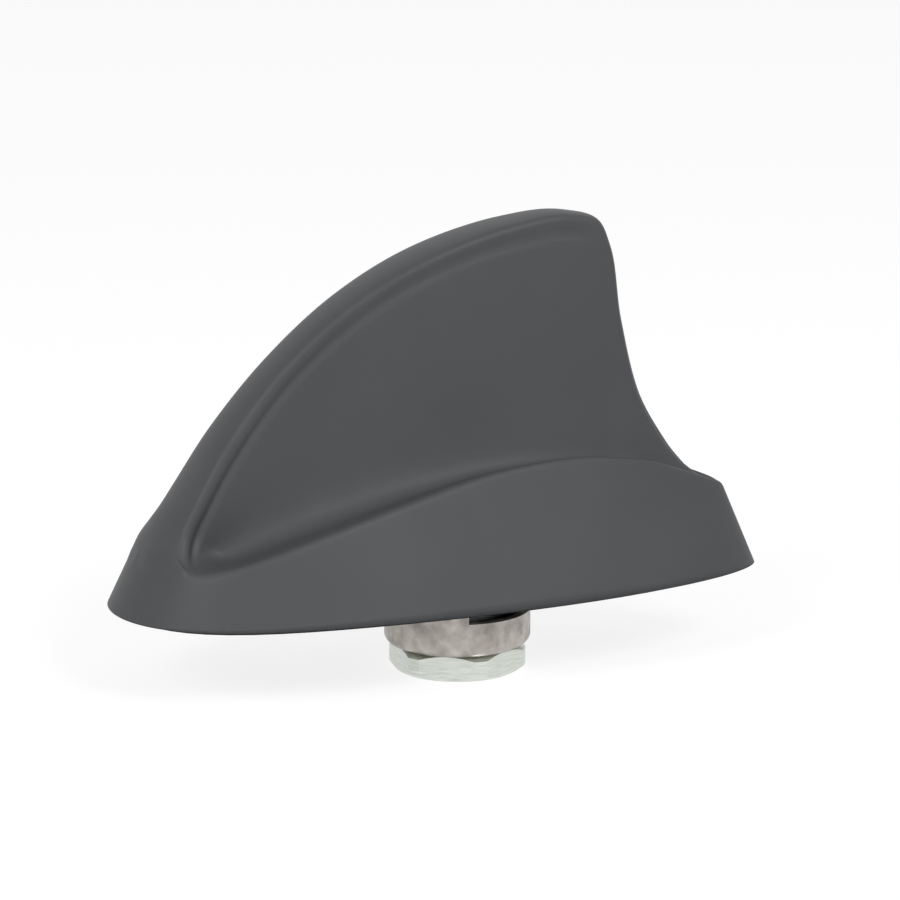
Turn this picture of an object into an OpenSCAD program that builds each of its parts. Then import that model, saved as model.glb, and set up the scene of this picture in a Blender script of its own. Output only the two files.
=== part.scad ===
// Shark fin roof aerial: moulded fin cover on a die-cast base with a hollow threaded stud.
// Origin on the stud axis in the roof plane (underside of the gasket); nose towards -X, +Z up.

/* [Cover] */
// Length of the cover at its rim
cover_length = 129.3; // [127:0.1:132]
// Width of the cover at its widest
cover_width = 51; // [50:0.1:53]
// Height of the fin above the roof
cover_height = 72.9; // [71:0.1:75]
// Height of the cover's rim above the roof
rim_height = 1.2; // [1:0.1:1.4]
// Moulded wall thickness
wall = 2; // [1.8:0.1:2.2]
// Depth of the side pocket below the ridge
pocket_depth = 2.8; // [2.2:0.1:3]
// Rounding along the ridge
ridge_round = 1.5; // [1:0.1:2]
// Rounding along the spine's edge
spine_round = 1.2; // [0.8:0.1:1.6]
// Radius of the screw bosses
boss_radius = 2.8; // [2.6:0.1:3]

/* [Base] */
// Thickness of the die-cast base plate
base_thick = 2.5; // [2.4:0.1:2.8]
// Thickness of the roof gasket
gasket_thick = 1.6; // [1.5:0.1:1.7]
// Inset of the gasket's edge from the rim
gasket_inset = 3.5; // [3.4:0.1:4]
// Diameter of the threaded stud
stud_dia = 18; // [17:0.1:18.4]
// Bore through the stud for the cables
bore_dia = 12.5; // [11:0.1:13]
// Height of the posts under the board
post_height = 2; // [1.8:0.1:2.2]
// Diameter of the posts under the board
post_dia = 5.6; // [5:0.1:6]
// Gap between the base and the inside of the cover
edge_gap = 0.3; // [0.2:0.05:0.5]
// Gap between the seal and the inside of the cover
seal_gap = 0.15; // [0.1:0.05:0.3]
// Width of the cover seal
seal_width = 1.5; // [1.2:0.1:1.8]
// Height of the cover seal
seal_height = 1; // [0.8:0.1:1.2]

/* [Clamp] */
// Outer diameter of the cup collar
collar_dia = 28.2; // [27:0.1:29]
// Depth of the cup collar from the gasket to its underside
collar_depth = 10.2; // [9.6:0.1:11]
// Wall of the cup collar
collar_wall = 1.6; // [1.4:0.1:2]
// Depth of the gaps between the collar's feet
foot_height = 3.4; // [3:0.1:4]
// Width of one foot in degrees
foot_angle = 50; // [40:1:60]
// Bottom edge radius of the collar
collar_round = 2; // [1.6:0.1:2.4]
// Width of the nut across its flats
nut_flats = 24; // [23.5:0.1:25]
// Width of the nut over its turned corners
nut_corners = 26.3; // [26:0.1:27]
// Height of the nut
nut_height = 5; // [4.6:0.1:5.4]
// Turn of the nut about the stud
nut_turn = 2.2; // [0:0.1:30]
// Gap between the stud and the nut's thread
thread_gap = 0.1; // [0.05:0.05:0.2]
// Gap between the stud and the collar
collar_gap = 0.3; // [0.2:0.05:0.5]

/* [Boards] */
// Gap between the cover's bosses and the ends of the main board
board_gap = 3.2; // [3:0.1:4]
// Width of the main board
board_width = 25; // [24:0.1:26]
// Thickness of the circuit boards
board_thick = 1.2; // [1:0.1:1.4]
// Side of the ceramic satellite patch
patch_side = 16; // [15:0.1:16.6]
// Thickness of the ceramic satellite patch
patch_thick = 4; // [3:0.1:4]
// Gap between the top plate and the inside of the fin
fin_gap = 10; // [9:0.5:13]
// Length of the shield can
can_length = 18; // [16:0.5:20]
// Width of the shield can
can_width = 8; // [7:0.1:8.4]
// Height of the shield can
can_height = 3; // [2.6:0.1:4]
// Sheet metal of the shield can
can_wall = 0.3; // [0.3:0.05:0.4]
// Diameter of the screws' shanks
screw_dia = 2.5; // [2.2:0.1:2.6]
// Gap round the screws' shanks
screw_gap = 0.05; // [0.05:0.05:0.15]

/* [Hidden] */
$fn = 48;
kx = cover_length / 129.3;
ky = cover_width / 51;
kz = (cover_height - rim_height) / 71.7;

// Keys along the half outline: station, outline angle, spine edge x, z, half width, spine centre x, z
keys = [
  [0.00, 0, -63.5, 11.0, 0.0, -62.4, 13.3],
  [0.06, 11.5, -62.6, 11.0, 6.7, -62.1, 13.9],
  [0.11, 20, -60.4, 11.1, 11.2, -61.4, 14.9],
  [0.15, 27.5, -57.7, 11.7, 14.2, -60.5, 16.4],
  [0.18, 33.5, -57.8, 13.0, 12.3, -59.2, 18.3],
  [0.22, 41, -56.5, 17.0, 10.0, -57.1, 21.0],
  [0.27, 49, -53.7, 22.3, 9.0, -53.9, 25.5],
  [0.34, 60, -46.9, 33.0, 7.5, -47.4, 35.3],
  [0.42, 73, -36.1, 46.2, 6.5, -36.6, 47.4],
  [0.50, 86, -22.8, 57.6, 6.5, -23.3, 58.5],
  [0.58, 98, -7.5, 66.0, 6.6, -7.9, 66.8],
  [0.66, 110, 10.0, 71.2, 5.6, 9.8, 71.8],
  [0.72, 118, 21.6, 72.0, 4.0, 21.8, 72.6],
  [0.75, 122, 27.2, 70.4, 3.0, 27.7, 70.9],
  [0.78, 126, 29.8, 65.4, 2.4, 30.4, 65.6],
  [0.84, 136, 32.1, 51.0, 2.2, 32.8, 51.2],
  [0.90, 147, 36.0, 36.0, 2.2, 36.7, 36.3],
  [0.95, 160, 41.4, 26.4, 2.0, 42.1, 26.8],
  [1.00, 180, 47.6, 20.2, 0.0, 46.4, 21.4]];
// Ridge height along the same stations
ridge = [[0, 9.0], [0.11, 9.4], [0.16, 10.4], [0.27, 14.0], [0.34, 16.8], [0.42, 20.2], [0.50, 23.6],
  [0.58, 26.2], [0.66, 27.3], [0.72, 27.2], [0.78, 26.2], [0.84, 24.6], [0.90, 22.0], [0.95, 19.4], [1, 17.2]];
// Plan of the rim and of the ridge: middle, half length, then the width's terms in the cosine
rim_plan = [-3.6, 64.65, 24.34, 6.05, 4.83, 4.54];
ridge_plan = [-5.2, 59.3, 15.76, 9.77, 6.63, 3.8];
fine = 3;         // stations to each key interval
n_out = [2, 3, 1, 6, 3, 3, 3];
n_in = [1, 2, 1, 3, 2, 1, 2];

// A smooth curve through keys: column c of table k at station s
function slope(k, c, i) =
  i <= 0 ? (k[1][c] - k[0][c]) / (k[1][0] - k[0][0]) :
  i >= len(k) - 1 ? (k[i][c] - k[i - 1][c]) / (k[i][0] - k[i - 1][0]) :
  let (a = k[i][0] - k[i - 1][0], b = k[i + 1][0] - k[i][0])
  ((k[i][c] - k[i - 1][c]) / a * b + (k[i + 1][c] - k[i][c]) / b * a) / (a + b);
function seat(k, s, i = 0) = i >= len(k) - 2 || s < k[i + 1][0] ? i : seat(k, s, i + 1);
function curve(k, c, s) =
  let (i = seat(k, s), h = k[i + 1][0] - k[i][0], t = (s - k[i][0]) / h)
  (2 * t^3 - 3 * t^2 + 1) * k[i][c] + (t^3 - 2 * t^2 + t) * h * slope(k, c, i)
  + (3 * t^2 - 2 * t^3) * k[i + 1][c] + (t^3 - t^2) * h * slope(k, c, i + 1);
function ease(t) = let (u = min(1, max(0, t))) u * u * (3 - 2 * u);
function mix(a, b, t) = a + (b - a) * t;
function towards(a, b, d, share) = let (l = max(norm(b - a), 0.001)) a + (b - a) * min(d / l, share);

// Outline point at angle f on a plan, near side (y below zero)
function plan(p, f) = let (u = cos(f))
  [kx * (p[0] - p[1] * u), -ky * sin(f) * (p[2] + p[3] * u + p[4] * u^2 + p[5] * u^3)];
// Unit vector pointing inwards from the outline
function inward(p, f) = let (d = plan(p, f + 0.5) - plan(p, f - 0.5)) [-d[1], d[0]] / norm(d);
function lift(z) = rim_height + (z - 1.2) * kz;

// Corners of one section: rim, ridge, valley, spine edge, spine centre; t is the inset (0 outside)
function corners(s, t) =
  let (
    f = curve(keys, 1, s),
    n = inward(rim_plan, f), m = inward(ridge_plan, f),
    a = plan(rim_plan, f), b = plan(ridge_plan, f), zb = lift(curve(ridge, 1, s)),
    lean = norm(a - b) / (zb - rim_height),
    w = max(0, curve(keys, 4, s)) * ky,
    d = [curve(keys, 2, s) * kx, 0, lift(curve(keys, 3, s))],
    e = [curve(keys, 5, s) * kx, 0, lift(curve(keys, 6, s))],
    s1 = max(0, s - 0.004), s2 = min(1, s + 0.004),
    g = [curve(keys, 5, s2) - curve(keys, 5, s1), curve(keys, 6, s2) - curve(keys, 6, s1)],
    q = [g[1], 0, -g[0]] / norm(g) * (t > 0 ? t + 0.3 : 0),
    wi = w <= 0 ? 0 : t > 0 ? max(w - t, min(w, 0.35)) : w,
    A = [a[0] + n[0] * t * sqrt(1 + lean^2), a[1] + n[1] * t * sqrt(1 + lean^2), rim_height],
    k = ease((s - 0.155) / 0.11),
    B = [b[0] + m[0] * mix(0.9, 0.55, k) * t, b[1] + m[1] * mix(0.9, 0.55, k) * t, zb - mix(0.45, 1.4, k) * t],
    D = [d[0] + q[0], -wi, d[2] + q[2]],
    E = [e[0] + q[0], 0, e[2] + q[2]],
    low = pocket_depth * (1 - 0.85 * ease((s - 0.84) / 0.15)),
    half = min(w + 1.4, 8.2, -b[1] * 0.7),
    V = mix(mix(B, D, 0.45),
      [mix(b[0], d[0], 0.3) - (s > 0.9 ? t * ease((s - 0.9) / 0.1) : 0), -max(half - t, min(half, 0.5)), zb - low - t], k))
  [A, B, V, D, E];

function line(p, q, n) = [for (i = [0:n - 1]) mix(p, q, i / n)];
function bend(p, q, r, n, m = 1) = [for (i = [0:n - m]) let (t = i / n) (1 - t)^2 * p + 2 * t * (1 - t) * q + t^2 * r];
// One section as points from rim to spine centre
function section(s, t, n) =
  let (
    c = corners(s, t), A = c[0], B = c[1], V = c[2], D = c[3], E = c[4],
    M = [E[0], D[1] / 2, E[2]],
    soft = 1 - ease((s - 0.1) / 0.08),
    B1 = towards(B, A, ridge_round + 3 * soft, 0.4), B2 = towards(B, V, ridge_round, 0.4),
    V1 = towards(V, B, 6, 0.55), V2 = towards(V, D, 15, 0.45),
    D1 = towards(D, V, spine_round, 0.3), D2 = towards(D, M, spine_round + 0.2 + 2 * soft, 0.45))
  concat(line(A, B1, n[0]), bend(B1, B, B2, n[1]), line(B2, V1, n[2]), bend(V1, V, V2, n[3]),
    line(V2, D1, n[4]), bend(D1, D, D2, n[5]), bend(D2, M, E, n[6], 0));

stations = concat([for (i = [0:len(keys) - 2], j = [0:fine - 1]) mix(keys[i][0], keys[i + 1][0], j / fine)], [1]);
ns = len(stations) - 1;

// Points of a skin: a ring of sections round the plan, then the shared points along the spine
function skin(t, n) =
  let (near = [for (s = stations) section(s, t, n)], m = len(near[0]) - 1)
  concat(
    [for (i = [0:2 * ns - 1], j = [0:m - 1]) let (p = near[i <= ns ? i : 2 * ns - i][j])
      [p[0], i == 0 || i == ns ? 0 : i < ns ? p[1] : -p[1], p[2]]],
    [for (i = [0:ns]) [near[i][m][0], 0, near[i][m][2]]]);
// Faces of a skin whose first point has index o, with m rows; turned over where flip is true
function skin_faces(o, m, flip) =
  let (
    v = function (i, j) j < m ? o + (i % (2 * ns)) * m + j : o + 2 * ns * m + (i % (2 * ns) <= ns ? i % (2 * ns) : 2 * ns - i % (2 * ns)),
    f = [for (i = [0:2 * ns - 1], j = [0:m - 1])
      let (a = v(i, j), b = v(i + 1, j), c = v(i + 1, j + 1), d = v(i, j + 1))
      each ((i < ns) != (j == m - 1 && (i == 0 || i == 2 * ns - 1)) ? [[a, c, b], [a, d, c]] : [[a, d, b], [b, d, c]])])
  flip ? [for (x = f) [x[2], x[1], x[0]]] : f;

// Closed outline of the wall at height z, moved inwards by d
function loop(z, d, n = 60) =
  [for (i = [0:n - 1]) let (
    f = 360 * i / n, h = f > 180 ? 360 - f : f,
    a = plan(rim_plan, h), b = plan(ridge_plan, h), zb = lift(curve(ridge, 1, station_of(h))),
    p = mix(a, b, (z - rim_height) / (zb - rim_height)), k = inward(rim_plan, h))
    [p[0] + k[0] * d, (f > 180 ? -1 : 1) * (p[1] + k[1] * d)]];
function station_of(f, a = 0, b = 1, n = 20) = n == 0 ? (a + b) / 2 :
  let (c = (a + b) / 2) curve(keys, 1, c) < f ? station_of(f, c, b, n - 1) : station_of(f, a, c, n - 1);

module ring_of(points_out, points_in, z, h)
  translate([0, 0, z]) linear_extrude(h) difference() { polygon(points_out); polygon(points_in); }
module at(points) for (p = points) translate(p) children();

base_z = gasket_thick;
base_top = base_z + base_thick;
board_z = base_top + post_height;
board_top = board_z + board_thick;
flange = base_thick * 0.4;
boss_front = -44 * kx;
boss_rear = 34 * kx;
board_side = board_width / 2;
boss_spots = [for (y = [-1, 1]) each [[boss_front, y * 14 * ky], [boss_rear, y * 8.6 * ky]]];
boss_tops = [for (y = [-1, 1]) each [lift(10.6), lift(14.4)]];
bite = 5.2;       // length of screw inside a boss
board_front = boss_front + boss_radius + board_gap;
board_rear = boss_rear - boss_radius - board_gap;
post_in = 3;
post_spots = [for (x = [board_front + post_in, board_rear - post_in], y = [-1, 1]) [x, y * (board_side - 2.7)]];
head_dia = 2 * screw_dia;
head_height = 1.6;
stud_end = -collar_depth - nut_height + 0.2;
nut_bevel = (nut_corners - nut_flats) / 3 + 0.14;
seal_inset = wall * 1.12 + seal_gap;
patch_x = board_front + 6 + patch_side / 2;
pad_thick = 0.4;
pin_dia = 1;
fin_thick = board_thick;
fin_front = patch_x + patch_side / 2 + 3.5;
fin_rear = board_rear - 2.5;
fin_height = lift(72.6) - wall - fin_gap - board_top;
fin_top = [-9 * kx, 19.5 * kx];
plate_length = 0.6 * (fin_top[1] - fin_top[0]);
radiator_height = 20;
radiator_x = board_front + 2;
holder_gap = 0.05;

module cover() color("#3a3b3d") {
  po = skin(0, n_out);
  pi = skin(wall, n_in);
  mo = len(section(0, 0, n_out)) - 1;
  mi = len(section(0, wall, n_in)) - 1;
  ring = 2 * ns;
  rim = [for (i = [0:ring - 1]) let (a = i * mo, b = ((i + 1) % ring) * mo,
      c = len(po) + ((i + 1) % ring) * mi, d = len(po) + i * mi)
    each (i < ns ? [[a, b, c], [a, c, d]] : [[a, b, d], [b, c, d]])];
  difference() {
    union() {
      polyhedron(concat(po, pi), concat(skin_faces(0, mo, false), skin_faces(len(po), mi, true), rim), convexity = 8);
      for (i = [0:3]) translate(concat(boss_spots[i], base_top)) cylinder(r = boss_radius, h = boss_tops[i] - base_top);
    }
    for (i = [0:3]) translate(concat(boss_spots[i], base_top - 1))
      cylinder(d = screw_dia + 2 * screw_gap, h = bite + 1.3);
  }
}

module cover_seal() color("#1c1c1c")
  ring_of(loop(base_top + seal_height, seal_inset), loop(base_top + seal_height, seal_inset + seal_width), base_top, seal_height);

module roof_gasket() color("#151515")
  linear_extrude(gasket_thick) difference() {
    polygon(loop(rim_height, gasket_inset));
    circle(d = stud_dia + 2 * collar_gap);
  }

module base_plate() color("#a9abad") difference() {
  union() {
    translate([0, 0, base_z]) linear_extrude(flange) polygon(loop(base_z + flange, wall * 1.12 + edge_gap));
    translate([0, 0, base_z]) linear_extrude(base_thick) polygon(loop(base_top, wall * 1.12 + edge_gap));
    translate([0, 0, stud_end]) cylinder(d = stud_dia, h = base_z - stud_end + 0.5);
    for (p = post_spots) translate(concat(p, base_top - 0.5)) cylinder(d = post_dia, h = post_height + 0.5);
  }
  translate([0, 0, stud_end - 1]) cylinder(d = bore_dia, h = base_top - stud_end + 2);
  for (p = post_spots) translate(concat(p, base_top - 1)) cylinder(d = screw_dia + 2 * screw_gap, h = post_height + 2);
  for (p = boss_spots) translate(concat(p, base_z - 1)) {
    cylinder(d = screw_dia + 2 * screw_gap, h = base_thick + 2);
    cylinder(d = head_dia + 4 * screw_gap, h = 1 + head_height);
  }
}

module clamp_collar() color("#8d8a84") difference() {
  translate([0, 0, -collar_depth]) rotate_extrude(convexity = 4) difference() {
    hull() {
      translate([stud_dia / 2 + collar_gap, 0]) square([1, collar_depth]);
      translate([collar_dia / 2 - 1, collar_round + 1]) square([1, collar_depth - collar_round - 1]);
      translate([collar_dia / 2 - collar_round, collar_round]) circle(collar_round);
    }
    translate([stud_dia / 2 - 1, collar_wall]) square([collar_dia / 2 - collar_wall - stud_dia / 2 + 1, collar_depth]);
  }
  for (i = [0:2]) rotate(120 * i - 99) translate([0, 0, -foot_height])
    rotate_extrude(angle = 120 - foot_angle) translate([collar_dia / 2 - collar_wall - 1, 0]) square([collar_wall + 2, foot_height + 1]);
}

module nut() color("#c9ccc8") translate([0, 0, -collar_depth - nut_height]) difference() {
  intersection() {
    rotate(nut_turn + 30) cylinder(d = nut_flats / cos(30), h = nut_height, $fn = 6);
    rotate_extrude() polygon([[0, 0], [nut_flats / 2 - 0.2, 0], [nut_corners / 2, nut_bevel],
      [nut_corners / 2, nut_height - nut_bevel], [nut_flats / 2 - 0.2, nut_height], [0, nut_height]]);
  }
  translate([0, 0, -1]) cylinder(d = stud_dia + 2 * thread_gap, h = nut_height + 2);
}

module main_board() color("#1f5b3a") translate([0, 0, board_z]) linear_extrude(board_thick) difference() {
  offset(2) translate([board_front + 2, 2 - board_side]) square([board_rear - board_front - 4, board_width - 4]);
  at(post_spots) circle(d = screw_dia + 2 * screw_gap);
  translate([patch_x, 0]) circle(d = pin_dia + 2 * screw_gap);
}

module board_screws() color("#b9bbbd") for (p = post_spots) translate(concat(p, board_top)) {
  translate([0, 0, -board_thick - post_height - 0.8]) cylinder(d = screw_dia, h = board_thick + post_height + 1);
  cylinder(d = head_dia, h = head_height);
}

module cover_screws() color("#b9bbbd") for (i = [0:3]) translate(concat(boss_spots[i], base_z)) {
  cylinder(d = head_dia, h = head_height);
  cylinder(d = screw_dia, h = base_thick + bite);
}

module gnss_pad() color("#2a2a2c") translate([patch_x - patch_side / 2 + 0.5, -patch_side / 2 + 0.5, board_top])
  slab(patch_side - 1, pad_thick);

module gnss_patch() color("#e4dfd2") translate([patch_x - patch_side / 2, -patch_side / 2, board_top + pad_thick])
  slab(patch_side, patch_thick);

module gnss_electrode() color("#c4c6c8") translate([patch_x - patch_side / 2 + 2, -patch_side / 2 + 2, board_top + pad_thick + patch_thick])
  slab(patch_side - 4, 0.2);

// A square slab with the feed pin's hole through its middle
module slab(a, h) linear_extrude(h) difference() { square(a); translate([a / 2, a / 2]) circle(d = pin_dia + 2 * screw_gap); }

module gnss_pin() color("#c9a94f") translate([patch_x, 0, 0]) {
  translate([0, 0, board_z - 0.6]) cylinder(d = pin_dia, h = board_thick + pad_thick + patch_thick + 0.2 + 0.7);
  translate([0, 0, board_top + pad_thick + patch_thick + 0.2]) cylinder(d = 2 * pin_dia, h = 0.3);
}

module shield_can() color("#b4b7ba") translate([fin_front + 4.5, board_side - can_width - 0.9, board_top]) difference() {
  cube([can_length, can_width, can_height]);
  translate([can_wall, can_wall, -1]) cube([can_length - 2 * can_wall, can_width - 2 * can_wall, can_height + 1 - can_wall]);
}

module amplifier_chip() color("#17181a") translate([fin_front + 12.5, 3 - board_side, board_top]) cube([5, 5, 0.9]);

module board_inductors() color("#3b3a3c") for (y = [2.5, 6.5]) translate([fin_front + 5.5, y - board_side, board_top]) {
  cylinder(r = 1.5, h = 0.5);
  cylinder(r = 1.1, h = 2);
  translate([0, 0, 1.7]) cylinder(r = 1.5, h = 0.5);
}

module phone_radiator() color("#c8b27a") translate([radiator_x, 0, board_top]) {
  translate([0, 4.5, 0]) rotate([90, 0, -90]) linear_extrude(0.4) difference() {
    translate([0, 0]) square([9, radiator_height]);
    translate([2, 4]) square([1, radiator_height]);
    translate([5, -1]) square([1, radiator_height - 3]);
  }
  translate([-1.6, -4.5, 0]) cube([1.4, 4, 0.4]);
}

module fin_board() color("#1f5b3a") translate([0, fin_thick / 2, 0]) rotate([90, 0, 0]) linear_extrude(fin_thick)
  polygon([[fin_front, board_top], [fin_rear, board_top], [fin_rear, board_top + 12], [fin_top[1] + 1.5, board_top + 33],
    [fin_top[1], board_top + fin_height], [fin_top[0], board_top + fin_height], [fin_front, board_top + fin_height - 8]]);

module fin_holders() color("#d9d6cc") for (m = [0, 1]) translate([m ? fin_rear : fin_front, 0, board_top]) mirror([m, 0, 0]) difference() {
  translate([-2.5, -3, 0]) cube([5, 6, 5]);
  translate([-holder_gap, -fin_thick / 2 - holder_gap, -1]) cube([3.5 + holder_gap, fin_thick + 2 * holder_gap, 7]);
}

module fin_contact() color("#c9a94f") translate([fin_front + 7.5, -fin_thick / 2, board_top]) {
  translate([0, -3.2, 0]) cube([3, 3.2, 0.2]);
  translate([0, -0.2, 0]) cube([3, 0.2, 5]);
}

module top_plate() color("#c2c4c6") translate([fin_top[0] + 1, 0, board_top + fin_height]) difference() {
  translate([0, -fin_thick / 2 - 0.45, -4.6]) cube([plate_length, fin_thick + 0.9, 5]);
  translate([-1, -fin_thick / 2 - 0.05, -5.6]) cube([plate_length + 2, fin_thick + 0.1, 5.6]);
}

module loading_coil() color("#a5652f") translate([0, fin_thick / 2 + 1.6, board_top + 22]) rotate([0, 90, 0]) {
  cylinder(r = 1.6, h = 0.6);
  cylinder(r = 1.3, h = 8);
  translate([0, 0, 7.4]) cylinder(r = 1.6, h = 0.6);
}

cover();
cover_seal();
roof_gasket();
base_plate();
clamp_collar();
nut();
cover_screws();
main_board();
board_screws();
gnss_pad();
gnss_patch();
gnss_electrode();
gnss_pin();
shield_can();
amplifier_chip();
board_inductors();
phone_radiator();
fin_board();
fin_holders();
fin_contact();
top_plate();
loading_coil();
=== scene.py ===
import bpy
import math
import numpy as np
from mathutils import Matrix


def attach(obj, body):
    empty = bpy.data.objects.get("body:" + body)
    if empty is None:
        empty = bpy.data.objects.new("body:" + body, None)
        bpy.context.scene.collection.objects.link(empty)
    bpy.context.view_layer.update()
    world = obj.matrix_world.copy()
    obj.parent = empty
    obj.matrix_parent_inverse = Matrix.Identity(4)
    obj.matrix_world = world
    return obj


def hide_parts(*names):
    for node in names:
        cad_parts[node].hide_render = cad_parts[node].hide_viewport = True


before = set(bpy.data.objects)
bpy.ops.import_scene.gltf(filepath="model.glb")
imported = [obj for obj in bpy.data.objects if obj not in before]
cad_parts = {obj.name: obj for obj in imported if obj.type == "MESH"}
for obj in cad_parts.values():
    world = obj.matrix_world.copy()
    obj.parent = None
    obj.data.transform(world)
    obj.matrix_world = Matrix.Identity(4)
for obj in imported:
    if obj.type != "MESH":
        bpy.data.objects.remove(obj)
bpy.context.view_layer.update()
print("frame loaded", len(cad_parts), "nodes")

mm = 0.001


def linearColour(text, alpha=1.0):
    # hex sRGB to the linear values that Blender's sockets take
    channels = []
    for i in (0, 2, 4):
        c = int(text[i:i + 2], 16) / 255
        channels.append(c / 12.92 if c <= 0.04045 else ((c + 0.055) / 1.055) ** 2.4)
    return (*channels, alpha)


def linkInputs(tree, node, links):
    for key, source in links.items():
        tree.links.new(source, node.inputs[key])


def addNode(tree, kind, links=None, stops=None, **settings):
    # settings are inputs by name (spaces as underscores) or the node's own properties; links go into
    # inputs, by name or number; stops are a ramp's places and hex colours
    node = tree.nodes.new(kind)
    for key, value in settings.items():
        if hasattr(node, key):
            setattr(node, key, value)
        else:
            node.inputs[key.replace("_", " ")].default_value = value
    if stops:
        elements = node.color_ramp.elements
        while len(elements) < len(stops):
            elements.new(0.5)
        for element, (place, colour) in zip(elements, stops):
            element.position = place
            element.color = linearColour(colour)
    linkInputs(tree, node, links or {})
    return node


def newMaterial(name, **settings):
    material = bpy.data.materials.new(name)
    material.use_nodes = True
    tree = material.node_tree
    shader = tree.nodes["Principled BSDF"]
    for key, value in settings.items():
        shader.inputs[key.replace("_", " ")].default_value = value
    return material, tree, shader


def patternInMm(tree, sizeMm, detail=2.0, stretch=(1, 1, 1)):
    # a noise whose feature size is in real millimetres; stretch above 1 makes it finer along that axis
    place = addNode(tree, "ShaderNodeTexCoord").outputs["Object"]
    scaled = addNode(tree, "ShaderNodeMapping", {"Vector": place},
                     Scale=[s / (sizeMm * mm) for s in stretch])
    noise = addNode(tree, "ShaderNodeTexNoise", {"Vector": scaled.outputs["Vector"]},
                    Scale=1.0, Detail=detail, Roughness=0.5)
    return noise.outputs["Fac"]


def coverPlastic():
    # dark grey moulded plastic, its tool face etched to an even satin grain that spreads each highlight
    material, tree, shader = newMaterial("satinMouldedPlastic", Roughness=0.5, Specular_IOR_Level=0.2)
    colour = addNode(tree, "ShaderNodeValToRGB", {"Fac": patternInMm(tree, 26, 3)},
                     [(0.3, "444547"), (0.7, "48494b")])
    bump = addNode(tree, "ShaderNodeBump", {"Height": patternInMm(tree, 0.22)},
                   Distance=0.004 * mm, Strength=1.0)
    linkInputs(tree, shader, {"Base Color": colour.outputs["Color"], "Normal": bump.outputs["Normal"]})
    return material


def gasketRubber():
    # black cellular rubber, dull, with fine pores and a little dust
    material, tree, shader = newMaterial("mouldedGasketRubber", Roughness=0.75, Specular_IOR_Level=0.35)
    colour = addNode(tree, "ShaderNodeValToRGB", {"Fac": patternInMm(tree, 1.4, 4)},
                     [(0.35, "18181a"), (0.62, "262627"), (0.72, "3a3a3a")])
    bump = addNode(tree, "ShaderNodeBump", {"Height": patternInMm(tree, 0.35, 3)},
                   Distance=0.03 * mm, Strength=1.0)
    linkInputs(tree, shader, {"Base Color": colour.outputs["Color"], "Normal": bump.outputs["Normal"]})
    return material


def collarSteel():
    # drawn steel with a dull warm plating: soft clouds of tone, and a fine unevenness in the wall
    material, tree, shader = newMaterial("platedDrawnSteel", Metallic=1.0)
    cloud = patternInMm(tree, 3.2, 3)
    colour = addNode(tree, "ShaderNodeValToRGB", {"Fac": cloud},
                     [(0.25, "8f8a84"), (0.5, "aba69f"), (0.75, "c2beb7")])
    dullness = addNode(tree, "ShaderNodeMapRange", {"Value": cloud},
                       From_Min=0.3, From_Max=0.7, To_Min=0.48, To_Max=0.36)
    bump = addNode(tree, "ShaderNodeBump", {"Height": patternInMm(tree, 0.5, 3)},
                   Distance=0.02 * mm, Strength=1.0)
    linkInputs(tree, shader, {"Base Color": colour.outputs["Color"], "Roughness": dullness.outputs["Result"],
                              "Normal": bump.outputs["Normal"]})
    return material


def nutSteel():
    # bright zinc plated nut, drawn bar: fine marks of the die along the flats
    material, tree, shader = newMaterial("zincPlatedBar", Metallic=1.0)
    marks = patternInMm(tree, 1.0, 3, (0.35, 0.35, 6))
    colour = addNode(tree, "ShaderNodeValToRGB", {"Fac": marks}, [(0.3, "bfc4bd"), (0.7, "dde1da")])
    dullness = addNode(tree, "ShaderNodeMapRange", {"Value": marks},
                       From_Min=0.3, From_Max=0.7, To_Min=0.26, To_Max=0.40)
    bump = addNode(tree, "ShaderNodeBump", {"Height": marks}, Distance=0.01 * mm, Strength=1.0)
    linkInputs(tree, shader, {"Base Color": colour.outputs["Color"], "Roughness": dullness.outputs["Result"],
                              "Normal": bump.outputs["Normal"]})
    return material


def plainMetal(name, colour, roughness):
    # an inner metal part: one tone, with a faint unevenness of shine
    material, tree, shader = newMaterial(name, Metallic=1.0, Base_Color=linearColour(colour))
    cloud = patternInMm(tree, 1.0, 3)
    dullness = addNode(tree, "ShaderNodeMapRange", {"Value": cloud}, From_Min=0.3, From_Max=0.7,
                       To_Min=roughness - 0.06, To_Max=roughness + 0.08)
    bump = addNode(tree, "ShaderNodeBump", {"Height": cloud}, Distance=0.01 * mm, Strength=1.0)
    linkInputs(tree, shader, {"Roughness": dullness.outputs["Result"], "Normal": bump.outputs["Normal"]})
    return material


def plainMatter(name, low, high, roughness):
    # an inner part that is no metal: two close tones in small clouds
    material, tree, shader = newMaterial(name, Roughness=roughness)
    cloud = patternInMm(tree, 1.0, 3)
    colour = addNode(tree, "ShaderNodeValToRGB", {"Fac": cloud}, [(0.3, low), (0.7, high)])
    bump = addNode(tree, "ShaderNodeBump", {"Height": cloud}, Distance=0.01 * mm, Strength=1.0)
    linkInputs(tree, shader, {"Base Color": colour.outputs["Color"], "Normal": bump.outputs["Normal"]})
    return material


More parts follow.
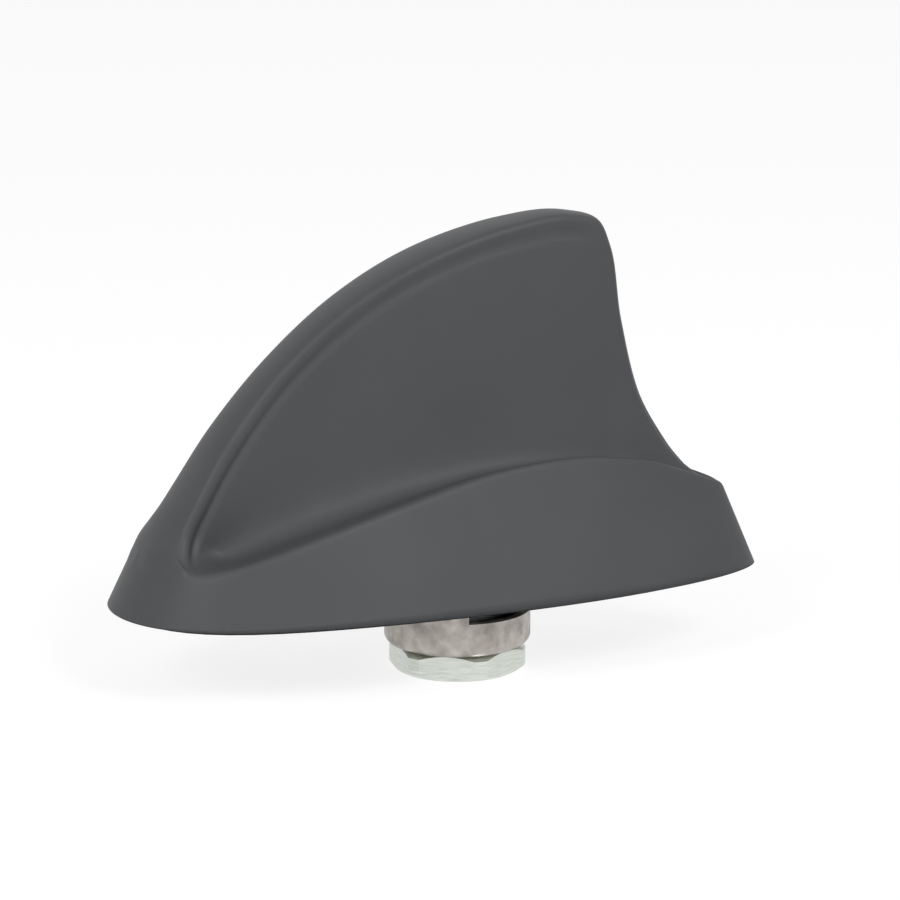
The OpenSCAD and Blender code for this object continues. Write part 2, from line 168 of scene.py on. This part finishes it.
def meshFromGrids(name, grids, material):
    # each grid is an array rows x columns x 3 in mm; columns close on themselves
    points, faces, start = [], [], 0
    for grid, flip in grids:
        rows, columns = grid.shape[:2]
        index = np.arange(rows * columns).reshape(rows, columns) + start
        nextColumn = np.roll(index, -1, axis=1)
        quads = np.stack([index[:-1], nextColumn[:-1], nextColumn[1:], index[1:]], -1).reshape(-1, 4)
        faces.append(quads[:, ::-1] if flip else quads)
        points.append(grid.reshape(-1, 3))
        start += rows * columns
    points, faces = np.concatenate(points) * mm, np.concatenate(faces)
    mesh = bpy.data.meshes.new(name)
    mesh.from_pydata(points, [], faces)
    mesh.validate()
    mesh.polygons.foreach_set("use_smooth", np.ones(len(mesh.polygons), bool))
    mesh.update()
    piece = bpy.data.objects.new(name, mesh)
    bpy.context.scene.collection.objects.link(piece)
    piece.data.materials.append(material)
    return piece


def smoothStep(t):
    t = np.clip(t, 0, 1)
    return t * t * (3 - 2 * t)


def mix(a, b, t):
    return a + (b - a) * t


def keyCurve(keys, column, s):
    # cubic between keys; the slope at a key is the mean of the slopes beside it, weighted to the nearer key
    x, y = keys[:, 0], keys[:, column]
    step = np.diff(x)
    rise = np.diff(y) / step
    between = (rise[:-1] * step[1:] + rise[1:] * step[:-1]) / (step[:-1] + step[1:])
    slope = np.concatenate([[rise[0]], between, [rise[-1]]])
    i = np.clip(np.searchsorted(x, s, side="right") - 1, 0, len(x) - 2)
    t = (s - x[i]) / step[i]
    return ((2 * t**3 - 3 * t**2 + 1) * y[i] + (t**3 - 2 * t**2 + t) * step[i] * slope[i]
            + (3 * t**2 - 2 * t**3) * y[i + 1] + (t**3 - t**2) * step[i] * slope[i + 1])


cover = {
    "rimHeight": 1.2,
    "wall": 2.0,
    "pocketDepth": 2.8,
    "ridgeRound": 1.5,
    "spineRound": 1.2,
    "rimPlan": (-3.6, 64.65, 24.34, 6.05, 4.83, 4.54),
    "ridgePlan": (-5.2, 59.3, 15.76, 9.77, 6.63, 3.8),
    "keys": np.array([
        # station, outline angle, spine edge x, z, half width, spine centre x, z
        [0.00, 0, -63.5, 11.0, 0.0, -62.4, 13.3],
        [0.06, 11.5, -62.6, 11.0, 6.7, -62.1, 13.9],
        [0.11, 20, -60.4, 11.1, 11.2, -61.4, 14.9],
        [0.15, 27.5, -57.7, 11.7, 14.2, -60.5, 16.4],
        [0.18, 33.5, -57.8, 13.0, 12.3, -59.2, 18.3],
        [0.22, 41, -56.5, 17.0, 10.0, -57.1, 21.0],
        [0.27, 49, -53.7, 22.3, 9.0, -53.9, 25.5],
        [0.34, 60, -46.9, 33.0, 7.5, -47.4, 35.3],
        [0.42, 73, -36.1, 46.2, 6.5, -36.6, 47.4],
        [0.50, 86, -22.8, 57.6, 6.5, -23.3, 58.5],
        [0.58, 98, -7.5, 66.0, 6.6, -7.9, 66.8],
        [0.66, 110, 10.0, 71.2, 5.6, 9.8, 71.8],
        [0.72, 118, 21.6, 72.0, 4.0, 21.8, 72.6],
        [0.75, 122, 27.2, 70.4, 3.0, 27.7, 70.9],
        [0.78, 126, 29.8, 65.4, 2.4, 30.4, 65.6],
        [0.84, 136, 32.1, 51.0, 2.2, 32.8, 51.2],
        [0.90, 147, 36.0, 36.0, 2.2, 36.7, 36.3],
        [0.95, 160, 41.4, 26.4, 2.0, 42.1, 26.8],
        [1.00, 180, 47.6, 20.2, 0.0, 46.4, 21.4]]),
    "ridge": np.array([
        # station, height
        [0, 9.0], [0.11, 9.4], [0.16, 10.4], [0.27, 14.0], [0.34, 16.8], [0.42, 20.2], [0.50, 23.6],
        [0.58, 26.2], [0.66, 27.3], [0.72, 27.2], [0.78, 26.2], [0.84, 24.6], [0.90, 22.0],
        [0.95, 19.4], [1, 17.2]]),
    "stations": 300,
    "outerRows": (14, 8, 6, 20, 30, 9, 10),
    "innerRows": (3, 3, 2, 5, 5, 3, 4),
    "grooveDepth": 0.5,
    "grooveFromEdge": 1.9,
    "grooveWidth": 0.9,
}


def planPoint(plan, angle):
    # the outline in plan: x is a cosine of the angle, y its sine times a cubic in the cosine, egg shaped
    u = np.cos(angle)
    width = plan[2] + plan[3] * u + plan[4] * u**2 + plan[5] * u**3
    return np.stack([plan[0] - plan[1] * u, -np.sin(angle) * width], -1)


def planInward(plan, angle):
    d = planPoint(plan, angle + 0.008) - planPoint(plan, angle - 0.008)
    n = np.stack([-d[:, 1], d[:, 0]], -1)
    return n / np.linalg.norm(n, axis=1, keepdims=True)


def towards(a, b, distance, share):
    length = np.maximum(np.linalg.norm(b - a, axis=1), 0.001)
    return a + (b - a) * np.minimum(np.asarray(distance) / length, share)[:, None]


def coverCorners(v, s, t):
    # corners of the sections at stations s: rim, ridge, valley, spine edge, spine centre; t is the inset
    keys = v["keys"]
    angle = np.radians(keyCurve(keys, 1, s))
    n, m = planInward(v["rimPlan"], angle), planInward(v["ridgePlan"], angle)
    a, b = planPoint(v["rimPlan"], angle), planPoint(v["ridgePlan"], angle)
    zb = keyCurve(v["ridge"], 1, s)
    lean = np.linalg.norm(a - b, axis=1) / (zb - v["rimHeight"])
    w = np.maximum(keyCurve(keys, 4, s), 0)
    dx, dz, ex, ez = (keyCurve(keys, c, s) for c in (2, 3, 5, 6))
    s1, s2 = np.maximum(s - 0.004, 0), np.minimum(s + 0.004, 1)
    gx, gz = keyCurve(keys, 5, s2) - keyCurve(keys, 5, s1), keyCurve(keys, 6, s2) - keyCurve(keys, 6, s1)
    g = np.hypot(gx, gz)
    push = t + 0.3 if t > 0 else 0
    qx, qz = gz / g * push, -gx / g * push
    wi = np.where(w <= 0, 0, np.maximum(w - t, np.minimum(w, 0.35)) if t > 0 else w)
    k = smoothStep((s - 0.155) / 0.11)
    A = np.concatenate([a + n * (t * np.sqrt(1 + lean**2))[:, None], np.full((len(s), 1), v["rimHeight"])], 1)
    B = np.concatenate([b + m * (mix(0.9, 0.55, k) * t)[:, None], (zb - mix(0.45, 1.4, k) * t)[:, None]], 1)
    D = np.stack([dx + qx, -wi, dz + qz], -1)
    E = np.stack([ex + qx, 0 * s, ez + qz], -1)
    low = v["pocketDepth"] * (1 - 0.85 * smoothStep((s - 0.84) / 0.15))
    half = np.minimum(np.minimum(w + 1.4, 8.2), -b[:, 1] * 0.7)
    V = np.stack([mix(b[:, 0], dx, 0.3) - t * smoothStep((s - 0.9) / 0.1),
                  -np.maximum(half - t, np.minimum(half, 0.5)), zb - low - t], -1)
    V = mix(mix(B, D, 0.45), V, k[:, None])
    return A, B, V, D, E


def coverSkin(v, t, rows):
    # a section is straight lines between rim, ridge, valley, spine edge and spine centre, with a quadratic
    # curve at each corner: (1-u)^2 start + 2u(1-u) corner + u^2 end; the half is mirrored in y
    s = np.linspace(0, 1, v["stations"] + 1)
    A, B, V, D, E = coverCorners(v, s, t)
    M = np.stack([E[:, 0], D[:, 1] / 2, E[:, 2]], -1)
    soft = 1 - smoothStep((s - 0.1) / 0.08)
    one = np.ones_like(s)
    B1, B2 = towards(B, A, v["ridgeRound"] + 3 * soft, 0.4), towards(B, V, v["ridgeRound"] * one, 0.4)
    V1, V2 = towards(V, B, 6 * one, 0.55), towards(V, D, 15 * one, 0.45)
    D1, D2 = towards(D, V, v["spineRound"] * one, 0.3), towards(D, M, v["spineRound"] + 0.2 + 2 * soft, 0.45)

    def line(p, q, n):
        u = (np.arange(n) / n)[:, None, None]
        return p + (q - p) * u

    def bend(p, q, r, n, last=0):
        u = (np.arange(n + last) / n)[:, None, None]
        return (1 - u)**2 * p + 2 * u * (1 - u) * q + u**2 * r

    half = np.concatenate([line(A, B1, rows[0]), bend(B1, B, B2, rows[1]), line(B2, V1, rows[2]),
                           bend(V1, V, V2, rows[3]), line(V2, D1, rows[4]), bend(D1, D, D2, rows[5]),
                           bend(D2, M, E, rows[6], 1)])
    half[:, 0, 1] = half[:, -1, 1] = 0
    return half, s, sum(rows[:5])


def gridNormals(p):
    across = np.gradient(p, axis=1)
    along = np.gradient(p, axis=0)
    n = np.cross(across, along)
    return n / np.maximum(np.linalg.norm(n, axis=2, keepdims=True), 1e-9)


def cutGroove(v, half, s, edgeRow):
    # the sunk line beside the spine's edge: depth times exp(-((distance from edge - middle) / width)^2),
    # pushed in against the surface's own normal
    step = np.linalg.norm(np.diff(half, axis=0), axis=2)
    run = np.concatenate([np.zeros((1, half.shape[1])), np.cumsum(step, 0)])
    fromEdge = run[edgeRow] - run
    fade = smoothStep((s - 0.17) / 0.05) * (1 - smoothStep((s - 0.71) / 0.05))
    depth = v["grooveDepth"] * fade * np.exp(-((fromEdge - v["grooveFromEdge"]) / v["grooveWidth"])**2)
    depth[edgeRow + 12:] = 0
    n = gridNormals(half)
    outwards = np.sign(-n[edgeRow - 20, len(s) // 2, 1])
    return half - n * outwards * depth[:, :, None]


def wholeSkin(half):
    other = half[:, -2:0:-1].copy()
    other[:, :, 1] *= -1
    return np.concatenate([half, other], 1)


def makeCover(v, material):
    outer, s, edgeRow = coverSkin(v, 0, v["outerRows"])
    outer = wholeSkin(cutGroove(v, outer, s, edgeRow))
    inner = wholeSkin(coverSkin(v, v["wall"], v["innerRows"])[0])
    rim = np.stack([inner[0], mix(inner[0], outer[0], 0.5), outer[0]])
    piece = meshFromGrids("finCover", [(outer, False), (inner, True), (rim, False)], material)
    weld = piece.modifiers.new("weld", "WELD")
    weld.merge_threshold = 1e-6
    return piece


plastic, rubber, collar, nutMetal = coverPlastic(), gasketRubber(), collarSteel(), nutSteel()
coverPiece = makeCover(cover, plastic)
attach(coverPiece, "root")
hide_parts("cover")
print("cover made", len(coverPiece.data.polygons), "faces")

castZinc = plainMetal("castZinc", "a9aaac", 0.42)
brightScrew = plainMetal("zincPlatedScrew", "c4c6c8", 0.3)
board = plainMatter("greenCircuitBoard", "1c5136", "235f40", 0.4)
gold = plainMetal("goldPlatedContact", "d9b45c", 0.25)
tin = plainMetal("tinPlatedSheet", "c6c8c9", 0.3)
nodeMaterials = {
    "roof_gasket": rubber,
    "clamp_collar": collar,
    "nut": nutMetal,
    "base_plate": castZinc,
    "cover_seal": rubber,
    "cover_screws": brightScrew,
    "board_screws": brightScrew,
    "main_board": board,
    "fin_board": board,
    "gnss_pad": plainMatter("adhesiveFoam", "262626", "303030", 0.9),
    "gnss_patch": plainMatter("firedCeramic", "dcd7ca", "e6e1d5", 0.6),
    "gnss_electrode": plainMetal("firedSilverFilm", "d4d4d2", 0.35),
    "gnss_pin": gold,
    "fin_contact": gold,
    "shield_can": tin,
    "top_plate": tin,
    "amplifier_chip": plainMatter("mouldedEpoxy", "161618", "1e1e20", 0.6),
    "board_inductors": plainMatter("sinteredFerrite", "333236", "3f3d40", 0.7),
    "phone_radiator": plainMetal("brassStrip", "c9b078", 0.3),
    "fin_holders": plainMatter("naturalNylon", "d6d1c4", "e0dbcf", 0.5),
    "loading_coil": plainMetal("enamelledCopper", "b06a3c", 0.3),
}
for name, material in nodeMaterials.items():
    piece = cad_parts[name]
    piece.data.materials.clear()
    piece.data.materials.append(material)
print("materials set")

camera = bpy.data.objects.new("camera", bpy.data.cameras.new("camera"))
bpy.context.scene.collection.objects.link(camera)
bpy.context.scene.camera = camera
camera.location = (-0.24056, -0.73588, 0.20330)
camera.rotation_euler = (math.radians(77.2), 0, math.radians(-18))
camera.data.sensor_width = 36
camera.data.lens = 166.4
camera.data.clip_start, camera.data.clip_end = 0.01, 20

studio = {
    "worldLight": 0.3,
    "worldSeen": 1.0,
    "floorHeight": -15.25,
    "floorRadius": 1500,
    "floorRings": 24,
    "floorSides": 96,
    "paperWhite": 0.9,
    "paperGlow": 1.12,
    "glowShare": 0.75,
    "lampTarget": (0, 0, 0.02),
    # place, size and power of each lamp
    "lamps": {
        "frontLeft": ((-1.0, -0.7, 0.9), (0.5, 0.5), 9),
        "frontRight": ((0.35, -1.0, 0.9), (0.6, 0.4), 10),
    },
}


def seenDirectly(tree):
    # 1 for rays of the camera, of reflections and of glass, 0 for the rays that light the object
    path = addNode(tree, "ShaderNodeLightPath")
    seen = path.outputs["Is Camera Ray"]
    for kind in ("Is Glossy Ray", "Is Transmission Ray"):
        seen = addNode(tree, "ShaderNodeMath", {0: seen, 1: path.outputs[kind]}, operation="MAXIMUM").outputs[0]
    return seen


def whiteStudio(v):
    # a plain white card all round, seen by the camera and by reflections; it lights the object weakly
    world = bpy.data.worlds.new("studio")
    bpy.context.scene.world = world
    world.use_nodes = True
    tree = world.node_tree
    tree.nodes.clear()
    light = addNode(tree, "ShaderNodeBackground", Color=(1, 1, 1, 1), Strength=v["worldLight"])
    card = addNode(tree, "ShaderNodeBackground", Color=(1, 1, 1, 1), Strength=v["worldSeen"])
    both = addNode(tree, "ShaderNodeMixShader", {0: seenDirectly(tree), 1: light.outputs[0], 2: card.outputs[0]})
    addNode(tree, "ShaderNodeOutputWorld", {"Surface": both.outputs[0]})


def whitePaper(v):
    # white paper that the camera and reflections see almost evenly white, with a share left for the shadow
    white = (v["paperWhite"], v["paperWhite"], v["paperWhite"], 1)
    material, tree, shader = newMaterial("whitePaper", Base_Color=white, Roughness=0.9)
    share = addNode(tree, "ShaderNodeMath", {0: seenDirectly(tree)}, operation="MULTIPLY")
    share.inputs[1].default_value = v["glowShare"]
    glow = addNode(tree, "ShaderNodeEmission", Color=(1, 1, 1, 1), Strength=v["paperGlow"])
    both = addNode(tree, "ShaderNodeMixShader", {0: share.outputs[0], 1: shader.outputs[0], 2: glow.outputs[0]})
    linkInputs(tree, tree.nodes["Material Output"], {"Surface": both.outputs[0]})
    return material


def makeFloor(v, material):
    # a flat disc of rings round the origin, just under the nut
    radius = np.linspace(0, 1, v["floorRings"])[:, None] * v["floorRadius"]
    angle = np.linspace(0, 2 * np.pi, v["floorSides"], endpoint=False)[None]
    height = np.full((v["floorRings"], v["floorSides"]), v["floorHeight"])
    grid = np.stack([radius * np.cos(angle), radius * np.sin(angle), height], -1)
    piece = meshFromGrids("floorSheet", [(grid, False)], material)
    return piece


def softbox(name, place, target, size, power):
    data = bpy.data.lights.new(name, "AREA")
    data.shape = "RECTANGLE"
    data.size, data.size_y = size
    data.energy = power
    lamp = bpy.data.objects.new(name, data)
    bpy.context.scene.collection.objects.link(lamp)
    lamp.location = place
    direction = np.array(target) - np.array(place)
    yaw = math.atan2(direction[1], direction[0])
    pitch = math.atan2(direction[2], math.hypot(direction[0], direction[1]))
    lamp.rotation_euler = (math.pi / 2 + pitch, 0, yaw - math.pi / 2)


makeFloor(studio, whitePaper(studio))
whiteStudio(studio)
for name, (place, size, power) in studio["lamps"].items():
    softbox(name, place, studio["lampTarget"], size, power)
print("floor, world and lamps made")

bpy.context.scene.view_settings.view_transform = "Standard"
